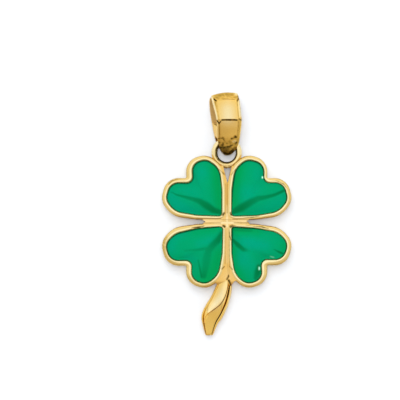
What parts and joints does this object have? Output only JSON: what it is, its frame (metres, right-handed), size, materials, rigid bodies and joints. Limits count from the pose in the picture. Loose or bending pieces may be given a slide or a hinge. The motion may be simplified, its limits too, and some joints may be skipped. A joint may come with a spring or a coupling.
{
  "type": "four leaf clover pendant",
  "caption": "Clover-shaped polished gold pendant with glossy green enamel leaves, a curved stem, a soldered hanging ring and a tapering pendant bail, lying face up.",
  "frame": {"origin": "middle of the clover, where its leaves meet, on its flat back, which is the plane it rests on", "axes": "+X runs to the right leaves, +Y towards the hanging ring and the bail, +Z out of the enamelled face"},
  "size_m": [0.0104, 0.0196, 0.0026],
  "materials": {
    "gold": "polished yellow gold",
    "enamel": "glossy green enamel"
  },
  "bodies": {
    "root": {"clover_frame": "gold", "bail": "gold", "enamel_upper_left": "enamel", "enamel_upper_right": "enamel", "enamel_lower_left": "enamel", "enamel_lower_right": "enamel"}
  },
  "joints": []
}
